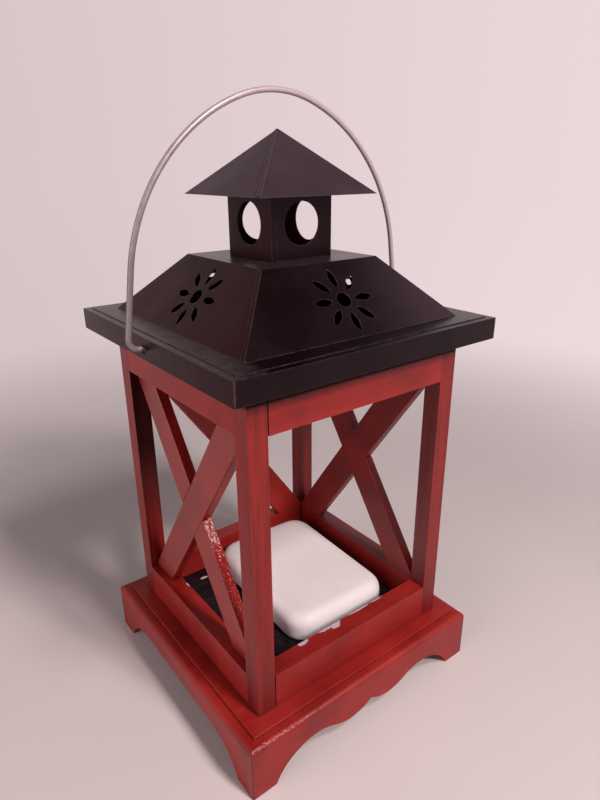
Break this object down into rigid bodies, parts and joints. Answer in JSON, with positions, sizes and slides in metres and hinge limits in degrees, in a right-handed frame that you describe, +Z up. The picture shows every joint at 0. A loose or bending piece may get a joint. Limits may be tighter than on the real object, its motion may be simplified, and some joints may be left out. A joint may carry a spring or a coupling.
{
  "type": "candle lantern",
  "caption": "Red-painted wooden candle lantern with crossed side braces, a scalloped base, a black sheet-metal roof with a vented cupola, and a swinging wire bail.",
  "frame": {"origin": "on the ground under the middle of the base", "axes": "+Z up, -Y out of the open front, +X to the right seen from the front"},
  "size_m": [0.2184, 0.2, 0.4106],
  "materials": {
    "red_paint": "hand-brushed semi-gloss red paint, worn bright along the edges",
    "black_sheet": "satin black paint on folded sheet",
    "black_floor": "matt black paint on hardboard",
    "wax": "smooth white wax",
    "zinc_wire": "grey galvanised wire",
    "screw_steel": "plain zinc-plated steel"
  },
  "bodies": {
    "lantern": {"apron_front": "red_paint", "apron_back": "red_paint", "apron_left": "red_paint", "apron_right": "red_paint", "plinth_board": "red_paint", "post_front_left": "red_paint", "post_front_right": "red_paint", "post_back_left": "red_paint", "post_back_right": "red_paint", "bottom_rail_front": "red_paint", "bottom_rail_back": "red_paint", "bottom_rail_left": "red_paint", "bottom_rail_right": "red_paint", "top_rail_front": "red_paint", "top_rail_back": "red_paint", "top_rail_left": "red_paint", "top_rail_right": "red_paint", "brace_left_front_up": "red_paint", "brace_left_back_up": "red_paint", "brace_right_front_up": "red_paint", "brace_right_back_up": "red_paint", "brace_back_left_up": "red_paint", "brace_back_right_up": "red_paint", "eave_tray": "black_sheet", "hip_roof": "black_sheet", "cupola": "black_sheet", "cap": "black_sheet", "base_screws": "screw_steel", "roof_screws": "screw_steel", "floor_plate": "black_floor"},
    "bail": {"bail_handle": "zinc_wire"},
    "block": {"candle_block": "wax"}
  },
  "joints": [
    {"name": "bail_swing", "type": "hinge", "parent": "lantern", "child": "bail", "pos_m": [0, 0, 0.26835], "axis": [1, 0, 0], "range_deg": [-75, 75]},
    {"name": "block_lift", "type": "slide", "parent": "lantern", "child": "block", "axis": [0, 0, 1], "range_m": [0, 0.16]}
  ]
}
